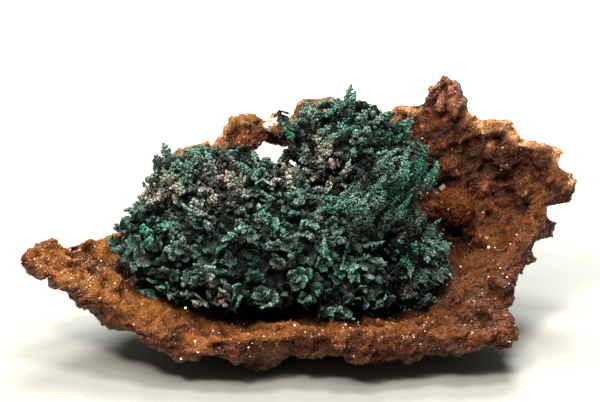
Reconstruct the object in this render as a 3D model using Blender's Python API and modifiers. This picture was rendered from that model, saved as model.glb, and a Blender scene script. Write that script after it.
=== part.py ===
"""Native copper on dolomite: a broken, bowl-shaped plate of iron-stained dolomite, and the tree-like
copper that grew in it, which is split at its main forks.

+X runs along the plate, +Y points from its low front rim to its high back wall, and the plate's
flat broken foot rests on z = 0. Lengths below are in millimetres and become metres in to_metres.
"""

import math
import random

import bmesh
import bpy
import numpy as np
from mathutils import Euler, Matrix, Vector, noise

MM = 0.001

# The plate's rim, once around from the left tip over the back wall to the right and the front.
RIM = [
    (-39.6, -10.0, 15.6), (-37.2, -6.4, 15.7), (-34.3, -4.0, 15.3), (-31.9, -2.0, 15.6),
    (-29.2, 1.0, 14.9), (-27.1, 4.0, 14.2), (-23.8, 9.0, 16.7), (-21.0, 13.0, 19.8),
    (-18.7, 16.0, 23.4), (-14.2, 18.0, 24.4), (-10.9, 19.5, 25.9), (-7.3, 20.0, 27.5),
    (-3.3, 20.0, 26.6), (0.5, 20.0, 29.4), (3.8, 19.5, 31.4), (6.8, 19.0, 29.3),
    (10.9, 18.0, 28.9), (15.0, 17.0, 29.4), (18.2, 15.0, 31.2), (20.0, 14.0, 33.6),
    (21.4, 13.0, 36.6), (22.9, 13.0, 34.2), (24.8, 13.0, 31.6), (28.3, 13.0, 30.2),
    (32.4, 12.0, 28.4), (36.2, 11.0, 26.2), (37.9, 10.0, 23.6), (39.2, 9.0, 20.9),
    (38.5, 7.4, 18.6), (35.8, 6.4, 17.3), (36.0, 4.6, 15.9), (34.2, 2.6, 13.4),
    (32.6, 0.0, 12.0), (31.2, -2.0, 11.6), (31.5, -6.0, 9.6), (29.8, -9.0, 8.5),
    (29.6, -13.0, 7.4), (30.0, -17.0, 7.0), (28.6, -20.0, 6.3), (25.3, -21.0, 6.0),
    (20.1, -21.5, 6.9), (13.8, -22.0, 6.7), (6.9, -22.5, 6.5), (0.0, -22.5, 6.8),
    (-4.4, -23.0, 7.1), (-7.9, -23.6, 6.2), (-13.1, -22.8, 6.3), (-16.6, -22.2, 6.3),
    (-20.1, -21.0, 7.0), (-24.3, -19.6, 8.3), (-27.9, -17.6, 10.0), (-33.4, -14.0, 12.3),
    (-37.4, -12.0, 14.0),
]
BOWL_CENTRE = Vector((3.0, -2.0, 6.0))
AROUND = 120  # points in each ring of the smooth plate
INNER_STEPS = (0.12, 0.24, 0.36, 0.48, 0.60, 0.72, 0.84, 0.94)
OUTER_STEPS = (0.96, 0.84, 0.70, 0.55, 0.40, 0.22)
SHELL_AT = ((0.0, 6.8), (0.45, 5.6), (0.62, 4.4), (0.8, 3.4), (1.0, 2.7))  # thickness, centre to rim
LOW_RIM_Z = 6.0
TALL_WALL = 20.0  # rise above LOW_RIM_Z at which the wall stands steepest
STEEPEST = math.radians(76)
EDGE_IN_LOW, EDGE_IN_TALL = 2.1, 1.6
EDGE_OUT_LOW, EDGE_OUT_TALL = 0.9, 1.8
CREST_ROUNDING = 0.7
FLOOR_CURVE = 1.4  # exponent of the rise towards the low rims
WALL_CURVE = 1.15  # and of the rise up the walls
SLOPE_STEP = 0.02  # the bowl's slope is measured over this share of the way to its rim
NEAR_RIM = 0.95
PLATE_VOXEL = 0.7
PLATE_LUMPS = ((9.0, 1.3), (4.2, 1.3), (2.4, 1.0))  # wavelength and height of the lumps and pits
LEDGE_STEP = 2.9
LEDGE_HEIGHT = 0.5
LEDGE_WAVER = ((7.0, 0.9),)
LEDGE_UP = Vector((-0.34, 0.0, 0.94))  # the ledges run gently down to the left
PLATE_TRIANGLES = 2500
FOOT_Z = 1.0  # height of the flat broken foot

BLOCK_SIZE = 200.0  # of the block that takes off everything below the foot

# The hole through the back wall, under the arched rim.
WINDOW_CENTRE = (-3.1, 19.0, 20.9)
WINDOW_RADII = (3.7, 9.0, 2.9)
WINDOW_BUMP = 0.35  # height of the hole's bumps, as a share of its radii
BUMPS_PER_RADIUS = 1.7

# Clusters of larger dolomite crystals: x, z, size of the largest. Each stands on the bowl's inside
# where a line along +Y meets it.
CRYSTALS = [
    (23.2, 17.2, 3.8), (25.6, 14.6, 2.9), (20.6, 25.0, 2.4), (31.0, 22.6, 2.4), (34.4, 18.6, 2.6),
    (22.0, 31.8, 2.4), (29.0, 10.6, 2.6), (-13.2, 20.4, 2.4), (-8.6, 24.4, 2.4), (-3.6, 26.6, 2.8),
    (2.8, 28.6, 2.6),
]
LOOSE_CRYSTALS = [  # x, y, size: clusters on the bowl's floor and the lobe
    (-33.0, -8.6, 2.2), (-26.0, -14.0, 2.4), (-17.0, -19.6, 2.2), (-2.0, -19.8, 2.2), (10.6, -19.4, 2.4),
    (18.4, -17.2, 2.6), (25.6, -15.6, 2.4), (23.0, -8.6, 2.4),
]
CLUSTER = ((0.0, 1.0), (0.55, 0.7), (0.62, 0.55))  # distance from the middle and size of each crystal
SIGHT = 60.0  # the lines start this far outside the plate
CRYSTAL_SEED = 4
RHOMB_SQUASH = 0.82  # a dolomite rhomb is a cube pressed along one body diagonal

# Lobes of each fork of the copper: x, y, z, radius. Sprigs: x, y, z of the tip, length, radius.
FORKS = {
    "copper_mass": {
        "lobes": [
            (-23.2, -6.0, 17.3, 3.8), (-20.1, -4.0, 18.4, 5.4), (-20.8, -9.0, 14.9, 4.4),
            (-15.8, -3.0, 20.8, 6.6), (-15.7, -8.0, 16.9, 6.8), (-15.6, -11.0, 13.0, 5.0),
            (-10.6, -12.0, 14.2, 5.8), (-9.3, -6.0, 18.6, 7.6), (-4.3, -2.0, 20.6, 6.6),
            (-3.6, -9.0, 16.0, 7.2), (-3.8, -12.0, 12.2, 4.6), (2.1, -5.0, 18.0, 6.8),
            (2.8, -10.0, 14.4, 6.2), (7.1, -11.0, 11.6, 4.8), (10.6, -10.0, 9.0, 3.8),
            (4.3, -12.0, 9.6, 3.6), (-7.4, 3.0, 12.3, 9.6), (5.4, 1.0, 12.0, 9.0),
        ],
        "sprigs": [
            (-5.9, -18.2, 8.0, 6.5, 1.3), (-1.4, -17.2, 8.6, 5.0, 1.3), (3.0, -17.0, 7.8, 5.0, 1.4),
            (7.4, -17.2, 8.6, 5.0, 1.3), (12.0, -15.4, 6.8, 5.0, 1.4), (-27.2, -7.0, 16.0, 4.5, 1.2),
            (-26.6, -6.0, 20.6, 5.0, 1.1), (-4.3, -1.0, 28.9, 4.0, 0.9), (-1.7, 0.0, 29.0, 4.0, 0.9),
            (-11.6, -1.0, 27.6, 4.0, 1.0), (-23.6, -3.0, 23.4, 4.0, 1.0), (-19.0, -15.0, 10.4, 4.5, 1.2),
        ],
        "twigs": 96, "triangles": 1750,
    },
    "copper_crest": {
        "lobes": [
            (0.8, 6.0, 28.0, 2.9), (2.8, 7.0, 29.6, 3.8), (7.3, 8.0, 29.2, 4.8),
            (12.0, 7.0, 28.6, 3.8), (2.9, 4.0, 25.2, 4.8), (7.6, 5.0, 25.6, 5.4), (5.0, 5.0, 21.4, 5.0),
        ],
        "sprigs": [
            (7.8, 8.0, 35.0, 4.0, 0.9), (0.2, 7.0, 33.4, 4.0, 0.9), (2.9, 8.0, 33.0, 3.0, 1.0),
            (-2.4, 5.0, 29.4, 3.6, 1.0), (12.6, 8.0, 33.0, 3.0, 1.0), (10.2, 8.4, 34.0, 3.0, 1.0),
        ],
        "twigs": 50, "triangles": 720,
    },
    "copper_plume": {
        "lobes": [
            (8.0, -6.4, 20.2, 3.6), (10.2, -6.0, 22.4, 4.4), (12.4, -5.0, 24.8, 4.4),
            (14.6, -4.0, 26.8, 3.6), (16.6, -3.0, 28.0, 2.2), (13.4, -3.6, 21.6, 4.2),
            (12.6, 0.0, 20.0, 4.4),
        ],
        "sprigs": [
            (18.9, -2.0, 28.2, 3.0, 1.1), (17.6, -2.6, 29.6, 3.0, 1.0), (13.8, -3.6, 30.6, 3.0, 1.0),
            (18.2, -3.0, 24.4, 3.4, 1.1),
        ],
        "twigs": 44, "triangles": 570,
    },
    "copper_right_spray": {
        "lobes": [
            (14.6, -4.4, 15.8, 3.8), (17.4, -4.0, 16.2, 3.0), (17.3, -5.0, 13.0, 4.2),
            (19.4, -4.0, 10.9, 2.6), (16.2, -7.0, 10.4, 3.4), (13.2, -1.0, 12.4, 4.6),
        ],
        "sprigs": [
            (21.4, -3.0, 17.2, 3.6, 1.0), (21.8, -4.0, 13.6, 3.0, 1.1), (21.4, -6.0, 10.2, 3.0, 1.0),
            (17.4, -11.0, 7.9, 3.6, 1.1),
        ],
        "twigs": 36, "triangles": 480,
    },
    "copper_left_spray": {
        "lobes": [
            (-19.6, 7.0, 23.6, 2.4), (-17.4, 7.6, 24.0, 2.9), (-16.9, 5.0, 22.4, 3.6),
            (-13.9, 4.6, 22.4, 3.4), (-18.6, 5.0, 21.2, 3.0), (-16.0, 6.0, 18.0, 4.4),
        ],
        "sprigs": [
            (-21.6, 7.0, 25.6, 3.0, 0.9), (-18.6, 8.0, 27.4, 3.0, 1.0), (-22.0, 6.0, 22.6, 3.0, 0.9),
            (-13.4, 5.0, 27.2, 3.0, 0.9),
        ],
        "twigs": 24, "triangles": 340,
    },
    "copper_back_branch": {
        "lobes": [
            (-15.6, 11.4, 23.6, 1.6), (-13.8, 12.4, 24.4, 1.7), (-11.8, 13.0, 24.6, 1.8),
            (-9.8, 13.0, 24.2, 1.8), (-7.9, 12.2, 23.2, 1.8), (-6.5, 11.2, 21.8, 2.0),
            (-5.8, 9.8, 19.8, 2.4), (-5.6, 8.6, 17.2, 2.6),
        ],
        "sprigs": [(-5.9, 12.4, 25.6, 3.6, 0.9), (-8.4, 12.6, 26.4, 3.2, 0.8)],
        "twigs": 8, "triangles": 240,
    },
}
GAP = 0.375  # each piece keeps this far from the ones it meets
COPPER_VOXEL = 0.45
LOBE_BUMP = 0.16  # height of a lobe's own bumps, as a share of its radius
CLUMP_SIZE = 3.2
CLUMP_DEPTH = 3.0
CLUMP_TOP = 0.6  # a clump is flat where it is this far from its edge, in clump sizes
CLUMP_LEVEL = 0.25  # and at the lobe's own surface where it is this far
TWIG_LENGTH = (3.0, 4.6)
TWIG_RADIUS = (0.9, 1.35)
TWIG_SIDES = 5
TWIG_TAPER = 0.45  # tip radius as a share of the foot's
TWIG_FLATNESS = (1.25, 0.7, 1.0)
TWIG_LEAN = 0.5  # how much a twig leans away from the fork's heart
TWIG_REACH = 0.42  # how far a twig's tip stands out of its lobe, as a share of its length
FIRST_SEED = 11

PLATE_FINISH = ("stained_dolomite", (0.33, 0.115, 0.045), 0.45, 0.0)
COPPER_FINISH = ("patinated_copper", (0.055, 0.115, 0.09), 0.6, 0.35)


def clear_scene():
    for obj in list(bpy.data.objects):
        bpy.data.objects.remove(obj, do_unlink=True)


def collection(name, hidden=False):
    made = bpy.data.collections.new(name)
    made.hide_render = hidden
    bpy.context.scene.collection.children.link(made)
    return made


def finish_material(name, colour, roughness, metallic):
    material = bpy.data.materials.new(name)
    material.use_nodes = True
    shader = material.node_tree.nodes["Principled BSDF"]
    shader.inputs["Base Color"].default_value = (*colour, 1.0)
    shader.inputs["Roughness"].default_value = roughness
    shader.inputs["Metallic"].default_value = metallic
    return material


def object_from_bmesh(name, shape, group):
    mesh = bpy.data.meshes.new(name)
    shape.to_mesh(mesh)
    shape.free()
    obj = bpy.data.objects.new(name, mesh)
    group.objects.link(obj)
    return obj


def evaluated_copy(obj):
    """The object's mesh with its modifiers applied."""
    bpy.context.view_layer.update()
    graph = bpy.context.evaluated_depsgraph_get()
    return bpy.data.meshes.new_from_object(obj.evaluated_get(graph))


def apply_modifiers(obj):
    mesh = evaluated_copy(obj)
    obj.modifiers.clear()
    obj.data = mesh


def keep_largest_body(obj):
    """Deletes the crumbs that a cut leaves beside the main body, also where they touch it at a point."""
    shape = bmesh.new()
    shape.from_mesh(obj.data)
    left, bodies = set(shape.faces), []
    while left:
        stack = [left.pop()]
        body = set(stack)
        while stack:
            for edge in stack.pop().edges:
                if len(edge.link_faces) != 2:
                    continue
                for face in edge.link_faces:
                    if face in left:
                        left.remove(face)
                        body.add(face)
                        stack.append(face)
        bodies.append(body)
    main = max(bodies, key=len)
    crumbs = [face for face in shape.faces if face not in main]
    bmesh.ops.delete(shape, geom=crumbs, context="FACES")
    shape.to_mesh(obj.data)
    shape.free()


def boolean(obj, other, operation):
    modifier = obj.modifiers.new(operation.lower(), "BOOLEAN")
    modifier.operation = operation
    modifier.solver = "EXACT"
    modifier.use_self = True
    modifier.object = other
    apply_modifiers(obj)
    keep_largest_body(obj)


def rounded_loop(points, count):
    """Evenly spaced points on a closed Catmull-Rom curve through the given ones."""
    fine = []
    per_span = 12
    size = len(points)
    for i in range(size):
        p0, p1, p2, p3 = (Vector(points[(i + k) % size]) for k in (-1, 0, 1, 2))
        for step in range(per_span):
            t = step / per_span
            fine.append(
                0.5 * (2 * p1 + (p2 - p0) * t + (2 * p0 - 5 * p1 + 4 * p2 - p3) * t * t
                       + (3 * p1 - p0 - 3 * p2 + p3) * t * t * t)
            )
    fine = np.array([tuple(p) for p in fine] + [tuple(fine[0])])
    along = np.concatenate([[0.0], np.cumsum(np.linalg.norm(np.diff(fine, axis=0), axis=1))])
    wanted = np.linspace(0.0, along[-1], count, endpoint=False)
    return np.stack([np.interp(wanted, along, fine[:, k]) for k in range(3)], axis=1)


def lumpiness(point, layers):
    """Height of the rock's lumps and pits at a point, from layers of (wavelength, height)."""
    total = 0.0
    for wavelength, height in layers:
        total += height * noise.noise(Vector(point) / wavelength)
    return total


def rim_lean(rim):
    """How far the wall below each rim point leans from flat, in radians."""
    rise = np.clip((rim[:, 2] - LOW_RIM_Z) / TALL_WALL, 0.0, 1.0)
    return rise * STEEPEST


def bowl_ring(edge, lean, step):
    """One ring of the bowl's inside: a flat floor under the low rims, and a hollow curve up the walls."""
    centre = np.array(BOWL_CENTRE)
    tall = (lean / STEEPEST)[:, None]
    angle = step * math.pi / 2
    across = step + (math.sin(angle) - step) * tall
    low = step**FLOOR_CURVE
    up = low + ((1.0 - math.cos(angle)) ** WALL_CURVE - low) * tall
    return centre + (edge - centre) * np.concatenate([across, across, up], axis=1)


def ring_normals(edge, lean, step):
    """Normals of the bowl's inside at one ring, pointing into the bowl."""
    here = bowl_ring(edge, lean, step)
    beyond, before = min(step + SLOPE_STEP, 1.0), step - SLOPE_STEP
    outward = bowl_ring(edge, lean, beyond) - bowl_ring(edge, lean, before)
    around = np.roll(here, -2, axis=0) - np.roll(here, 2, axis=0)
    normals = np.cross(around, outward)
    normals /= np.linalg.norm(normals, axis=1, keepdims=True)
    normals[normals[:, 2] < 0] *= -1
    return normals


def plate_rings():
    """All rings of the smooth plate, from the bowl's centre over the rim to the foot's centre."""
    rim = rounded_loop(RIM, AROUND)
    lean = rim_lean(rim)
    tall = (lean / STEEPEST)[:, None]
    inward = np.array(BOWL_CENTRE) - rim
    inward[:, 2] = 0.0
    inward /= np.linalg.norm(inward, axis=1, keepdims=True)
    facing = inward * np.sin(lean)[:, None]
    facing[:, 2] = np.cos(lean)
    inner_edge = rim + facing * (EDGE_IN_LOW + (EDGE_IN_TALL - EDGE_IN_LOW) * tall)
    outer_edge = rim - facing * (EDGE_OUT_LOW + (EDGE_OUT_TALL - EDGE_OUT_LOW) * tall)
    away = inner_edge - bowl_ring(inner_edge, lean, NEAR_RIM)
    away /= np.linalg.norm(away, axis=1, keepdims=True)
    crest = (inner_edge + outer_edge) / 2 + away * CREST_ROUNDING
    inside = [bowl_ring(inner_edge, lean, s) for s in INNER_STEPS]
    at_steps, shell = zip(*SHELL_AT)
    outside = [
        bowl_ring(inner_edge, lean, s) - ring_normals(inner_edge, lean, s) * np.interp(s, at_steps, shell)
        for s in OUTER_STEPS
    ]
    return inside + [inner_edge, crest, outer_edge] + outside


def loft(rings, start, end):
    """A closed body through rings of equal length, closed by fans to a start and an end point."""
    shape = bmesh.new()
    rows = [[shape.verts.new(point) for point in ring] for ring in rings]
    first, last = shape.verts.new(start), shape.verts.new(end)
    size = len(rows[0])
    for i in range(size):
        after = (i + 1) % size
        shape.faces.new((first, rows[0][after], rows[0][i]))
        shape.faces.new((last, rows[-1][i], rows[-1][after]))
        for lower, upper in zip(rows, rows[1:]):
            shape.faces.new((lower[i], lower[after], upper[after], upper[i]))
    bmesh.ops.triangulate(shape, faces=shape.faces)
    bmesh.ops.recalc_face_normals(shape, faces=shape.faces)
    return shape


def lumpy_ball(shape, centre, radii, bump, subdivisions=2):
    """Adds an ellipsoid with its own bumps to shape."""
    made = bmesh.ops.create_icosphere(shape, subdivisions=subdivisions, radius=1.0)["verts"]
    centre = Vector(centre)
    for vert in made:
        swell = 1.0 + bump * noise.noise(vert.co * BUMPS_PER_RADIUS + centre)
        vert.co = centre + Vector(radii) * vert.co * swell


def rhomb(shape, centre, size, rng):
    """Adds one dolomite rhomb, turned at random, to shape."""
    made = bmesh.ops.create_cube(shape, size=size)["verts"]
    diagonal = Vector((1, 1, 1)).normalized()
    press = Matrix.Scale(RHOMB_SQUASH, 3, diagonal)
    turn = Euler([rng.uniform(0, math.tau) for _ in range(3)]).to_matrix()
    for vert in made:
        vert.co = turn @ press @ vert.co + Vector(centre)


def crystal_cluster(shape, centre, size, rng):
    """A large rhomb with smaller ones grown into its sides."""
    for distance, share in CLUSTER:
        aside = Vector([rng.gauss(0, 1) for _ in range(3)]).normalized()
        rhomb(shape, centre + aside * distance * size, size * share, rng)


def add_crystals(plate, group, rng):
    """Fuses the crystal clusters to the bowl's inside, where a straight line meets it."""
    shape = bmesh.new()
    lines = [(Vector((x, -SIGHT, z)), Vector((0, 1, 0)), size) for x, z, size in CRYSTALS]
    lines += [(Vector((x, y, SIGHT)), Vector((0, 0, -1)), size) for x, y, size in LOOSE_CRYSTALS]
    for start, direction, size in lines:
        hit, point, _, _ = plate.ray_cast(start, direction)
        if hit:
            crystal_cluster(shape, point, size, rng)
    crystals = object_from_bmesh("crystals", shape, group)
    boolean(plate, crystals, "UNION")


def remeshed(obj, voxel):
    """Fuses what overlaps in obj into one even skin."""
    fuse = obj.modifiers.new("fuse", "REMESH")
    fuse.mode = "VOXEL"
    fuse.voxel_size = voxel
    apply_modifiers(obj)
    keep_largest_body(obj)


def faceted(obj, triangles):
    """Thins obj's skin to about so many flat facets."""
    thin = obj.modifiers.new("facet", "DECIMATE")
    thin.use_collapse_triangulate = True
    thin.ratio = triangles / (2.0 * len(obj.data.polygons))
    apply_modifiers(obj)


def roughen(obj, height):
    """Pushes each point of obj along its normal by height(point)."""
    normals = [vert.normal.copy() for vert in obj.data.vertices]
    for vert, normal in zip(obj.data.vertices, normals):
        vert.co += normal * height(vert.co)


def rock_height(point):
    """Lumps, pits and ledges of the dolomite. A ledge swells upwards and drops back at its top."""
    height = lumpiness(point, PLATE_LUMPS)
    shelf = point.dot(LEDGE_UP) / LEDGE_STEP + lumpiness(point, LEDGE_WAVER)
    return height + LEDGE_HEIGHT * (2.0 * (shelf - math.floor(shelf)) - 1.0)


def cut_foot(plate, helpers):
    """Breaks the underside off flat, where the plate rests."""
    block = bmesh.new()
    made = bmesh.ops.create_cube(block, size=BLOCK_SIZE)["verts"]
    for vert in made:
        vert.co.z += FOOT_Z - BLOCK_SIZE / 2
    boolean(plate, object_from_bmesh("foot_cutter", block, helpers), "DIFFERENCE")


def build_plate(parts, helpers):
    foot_centre = BOWL_CENTRE - Vector((0, 0, SHELL_AT[0][1]))
    plate = object_from_bmesh("dolomite_plate", loft(plate_rings(), BOWL_CENTRE, foot_centre), parts)
    hole = bmesh.new()
    lumpy_ball(hole, WINDOW_CENTRE, WINDOW_RADII, WINDOW_BUMP)
    boolean(plate, object_from_bmesh("window_cutter", hole, helpers), "DIFFERENCE")
    remeshed(plate, PLATE_VOXEL)
    roughen(plate, rock_height)
    remeshed(plate, PLATE_VOXEL)
    faceted(plate, PLATE_TRIANGLES)
    cut_foot(plate, helpers)
    add_crystals(plate, helpers, random.Random(CRYSTAL_SEED))
    return plate


def twig(shape, tip, direction, length, radius, rng):
    """Adds a flattened, tapering twig that ends at tip."""
    cone = bmesh.ops.create_cone(
        shape, cap_ends=True, segments=TWIG_SIDES, radius1=radius, radius2=radius * TWIG_TAPER, depth=length
    )["verts"]
    flatten = Matrix.Diagonal(TWIG_FLATNESS)
    spin = Matrix.Rotation(rng.uniform(0, math.tau), 3, "Z")
    turn = direction.to_track_quat("Z", "Y").to_matrix()
    for vert in cone:
        local = spin @ flatten @ vert.co
        vert.co = tip + turn @ (local - Vector((0, 0, length / 2)))


def outermost(lobes, index, point):
    """Whether no other lobe of the fork covers this point of the indexed lobe."""
    return all(
        (point - Vector(other[:3])).length > other[3]
        for k, other in enumerate(lobes) if k != index
    )


def fork_shape(fork, seed):
    """Lobes, the named sprigs and many twigs of one fork, all still overlapping."""
    rng = random.Random(seed)
    shape = bmesh.new()
    lobes = fork["lobes"]
    heart = sum((Vector(lobe[:3]) for lobe in lobes), Vector()) / len(lobes)
    for x, y, z, radius in lobes:
        lumpy_ball(shape, (x, y, z), (radius,) * 3, LOBE_BUMP)
    for x, y, z, length, radius in fork["sprigs"]:
        tip = Vector((x, y, z))
        nearest = min(lobes, key=lambda lobe: (Vector(lobe[:3]) - tip).length)
        direction = (tip - Vector(nearest[:3])).normalized()
        twig(shape, tip, direction, length, radius, rng)
    placed = 0
    while placed < fork["twigs"]:
        index = rng.randrange(len(lobes))
        centre, radius = Vector(lobes[index][:3]), lobes[index][3]
        direction = Vector([rng.gauss(0, 1) for _ in range(3)]).normalized()
        if not outermost(lobes, index, centre + direction * radius):
            continue
        away = (centre + direction * radius - heart).normalized()
        lean = (direction + TWIG_LEAN * away).normalized()
        length = rng.uniform(*TWIG_LENGTH)
        reach = radius + length * TWIG_REACH
        twig(shape, centre + direction * reach, lean, length, rng.uniform(*TWIG_RADIUS), rng)
        placed += 1
    return shape


def swollen(obj, group):
    """A copy of obj grown by the gap that neighbours keep, to cut them with."""
    copy = bpy.data.objects.new(obj.name + "_cutter", obj.data.copy())
    group.objects.link(copy)
    grow = copy.modifiers.new("grow", "DISPLACE")
    grow.mid_level = 0.0
    grow.strength = GAP
    apply_modifiers(copy)
    return copy


def clump_height(point):
    """The copper's clumps: rounded heads about CLUMP_SIZE wide with deep gaps between them."""
    near, second = noise.voronoi(point / CLUMP_SIZE)[0][:2]
    return CLUMP_DEPTH * (min(second - near, CLUMP_TOP) - CLUMP_LEVEL)


def build_fork(name, fork, seed, cutters, parts):
    """One fork fused into a single faceted body and cut clear of its neighbours."""
    obj = object_from_bmesh(name, fork_shape(fork, seed), parts)
    remeshed(obj, COPPER_VOXEL)
    roughen(obj, clump_height)
    remeshed(obj, COPPER_VOXEL)
    faceted(obj, fork["triangles"])
    for cutter in cutters:
        boolean(obj, cutter, "DIFFERENCE")
    return obj


def to_metres(objects):
    """Moves the model so that its box is centred over the origin, and turns millimetres into metres."""
    corners = np.concatenate([[tuple(v.co) for v in obj.data.vertices] for obj in objects])
    middle = (corners.max(axis=0) + corners.min(axis=0)) / 2
    shift = Matrix.Translation((-middle[0], -middle[1], -corners[:, 2].min()))
    for obj in objects:
        obj.data.transform(Matrix.Scale(MM, 4) @ shift)


def main():
    clear_scene()
    parts = collection("native_copper_on_dolomite")
    helpers = collection("cutters", hidden=True)
    plate = build_plate(parts, helpers)
    cutters = [swollen(plate, helpers)]
    forks = []
    for seed, (name, fork) in enumerate(FORKS.items(), start=FIRST_SEED):
        made = build_fork(name, fork, seed, cutters, parts)
        forks.append(made)
        cutters.append(swollen(made, helpers))
    to_metres([plate] + forks)
    plate.data.materials.append(finish_material(*PLATE_FINISH))
    copper = finish_material(*COPPER_FINISH)
    for fork in forks:
        fork.data.materials.append(copper)
    for helper in list(helpers.objects):
        bpy.data.objects.remove(helper, do_unlink=True)


main()
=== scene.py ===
"""Looks of the native copper and dolomite specimen: a crystal-lined plate of iron-stained dolomite,
and the branching copper in it under its green patina.

Lengths below are in millimetres in the CAD frame, and become metres when a mesh is made.
"""

import math

import bpy
import numpy as np
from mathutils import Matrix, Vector, noise
from mathutils.bvhtree import BVHTree


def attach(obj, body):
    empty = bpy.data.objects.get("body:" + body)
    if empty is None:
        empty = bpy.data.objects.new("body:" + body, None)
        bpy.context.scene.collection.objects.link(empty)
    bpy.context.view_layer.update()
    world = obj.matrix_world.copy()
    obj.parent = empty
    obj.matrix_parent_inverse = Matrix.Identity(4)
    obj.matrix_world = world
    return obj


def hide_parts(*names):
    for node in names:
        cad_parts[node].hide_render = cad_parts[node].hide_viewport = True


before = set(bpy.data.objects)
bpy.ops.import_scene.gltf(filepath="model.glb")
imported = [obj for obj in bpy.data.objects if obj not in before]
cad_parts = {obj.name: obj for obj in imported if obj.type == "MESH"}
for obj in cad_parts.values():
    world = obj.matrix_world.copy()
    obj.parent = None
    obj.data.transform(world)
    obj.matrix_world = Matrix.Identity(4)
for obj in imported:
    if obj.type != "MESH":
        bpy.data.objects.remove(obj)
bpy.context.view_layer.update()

MM = 0.001
noise.seed_set(5)  # gives noise_vector the same values in every run

# The photo's camera: a long lens, a little above the specimen.
LOOK_AT = (-0.7, 1.3, 19.9)
CAMERA_DISTANCE = 360.0
CAMERA_ELEVATION = 18.0
CAMERA_LENS = 149.0

# The plate's surface.
PLATE_VOXEL = 0.42
PLATE_SMOOTHING = 3
BOWL_FOCUS = (4.0, -22.0, 42.0)  # every point of the bowl's inside faces this one
FRONT_Y = (4.0, -4.0)  # in front of this the low rim's outer face is lined like the bowl
RIGHT_X = (22.0, 29.0)  # right of this so is the outer face, where it looks forward
BOWL_BOTTOM = (2.3, -0.7, 4.0)
RIM_UNDER = 1.1  # how deep under the surface the way to the rim is measured
RIM_WIDTH = (0.9, 2.0)  # points closer to the rim than this belong to it
RIM_AROUND = (1.5, 2.4)  # and the points around them are this close to it on average
PALE_RIM_Z = (15.0, 20.0)  # the broken rim is pale, partly painted light from behind, only where it stands high
PALE_RIM_X = (8.0, 20.0)  # and palest on the right
LEFT_RIM = 0.45  # how pale it is on the left
PEAK = (21.0, 33.5, 5.5)  # x, z and radius of the tall peak, which is paler than the wall
SWELLS = ((3.6, 0.45), (1.0, 0.16))  # wavelength and height
LUMPS = ((1.9, 0.68), (0.95, 0.50))  # size and height of rounded lumps with creases between them
FURROW_STRETCH = (0.35, 0.35, 1.0)
FURROW_HEIGHT = 0.16
BITES = [  # deep notches in the right-hand rim as seen from the front: across, up and radius
    (38.9, 24.9, 1.4), (37.1, 17.6, 1.5), (35.0, 12.2, 1.7), (31.2, 4.5, 1.3),
]
BITE_WAVER = 0.35
NOTCH_SPACING = 3.6  # small notches all along the rim
NOTCH_DEPTH = 2.8
NOTCH_REACH = 5.0  # how far from the rim the rock is drawn in by a notch
NOTCH_X = (18.0, 28.0)  # the rim is notched more on the right
PEAK_TAPER = ((30.5, 36.5), 0.28)  # heights between which the peak narrows, and by how much
GASHES = [  # x, z and radius of dark cavities in the wall
    (18.6, 18.4, 1.2), (20.0, 18.9, 1.1), (21.3, 19.4, 0.9), (20.6, 12.9, 1.2), (22.4, 12.5, 1.0),
    (26.5, 20.8, 0.7), (30.5, 17.5, 0.8), (27.5, 15.0, 0.8), (24.0, 25.0, 0.7), (31.5, 21.5, 0.7),
]
GASH_DEPTH = 1.3
STREAK_RISE = math.radians(32)  # how steeply the short streaks on the wall rise to the right
CALM, ROUGH = 0.62, 1.3  # share of the lumps' height on level and on steep parts
RAGGED = 0.5  # how much stronger the relief is along the broken rim
OVERHEAD = (-0.1, -0.35, 0.93)
UNDER_REACH = 14.0  # rock with copper this close overhead is darkened with painted shade
SHADED_PARTS = [(23.0, -6.0, 8.0, 17.0), (26.0, 9.0, 20.0, 13.0)]  # x, y, z and radius of parts darkened with painted shade, standing for the wall's and copper's shadow
AMBER_LUMPS = [(22.3, 9.0, 16.4, 3.0), (25.6, 7.0, 12.2, 1.6)]  # x, y, z and radius of the two dark knobs
AMBER_LUMP_HEIGHT = 1.9
LEDGE_UP = (-0.34, 0.0, 0.94)
LEDGE_STEP = 1.7
LEDGE_HEIGHT = 0.18
PIT_SPACING = 2.9
PIT_RADIUS = 0.32  # as a share of the spacing
PIT_DEPTH = 1.1
FOOT_Z = (0.3, 1.2)  # below this the flat foot stays flat

# The crystals on the bowl's inside.
DRUSE_COUNT = 32500
DRUSE_SIZE = (0.13, 0.30)
SPARSE_X = (12.0, 20.0)  # the small crystals are sparser on the right
SPARSE_SHARE = 0.65
LOWEST_CRYSTAL = 0.8  # none grow closer to the floor
RHOMB_SQUASH = 0.82
RHOMB_LEAN = 0.45
IN_FRONT = -40.0  # a y in front of the specimen
CLUSTERS = [  # kind, x and z of the middle, spread, smallest and largest size, and how many
    ("amber", 22.3, 16.6, 1.3, (0.5, 1.0), 34), ("amber", 25.6, 12.2, 0.8, (0.4, 0.7), 9),
    ("pale", -4.7, 27.0, 0.75, (0.5, 0.95), 18), ("green", -3.1, 28.3, 0.8, (0.45, 0.8), 30),
]
CRYSTAL_SUNK = 0.10  # how deep a crystal's middle lies in the rock, as a share of its size


def mesh_arrays(obj):
    """An object's vertices in millimetres, its vertex normals and its triangles."""
    mesh = obj.data
    mesh.calc_loop_triangles()
    points = np.empty(len(mesh.vertices) * 3)
    mesh.vertices.foreach_get("co", points)
    normals = np.empty(len(mesh.vertices) * 3)
    mesh.vertex_normals.foreach_get("vector", normals)
    triangles = np.empty(len(mesh.loop_triangles) * 3, dtype=np.int32)
    mesh.loop_triangles.foreach_get("vertices", triangles)
    return points.reshape(-1, 3) / MM, normals.reshape(-1, 3), triangles.reshape(-1, 3)


def tree_of(points, triangles):
    return BVHTree.FromPolygons([tuple(p) for p in points], [tuple(t) for t in triangles.tolist()])


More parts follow.
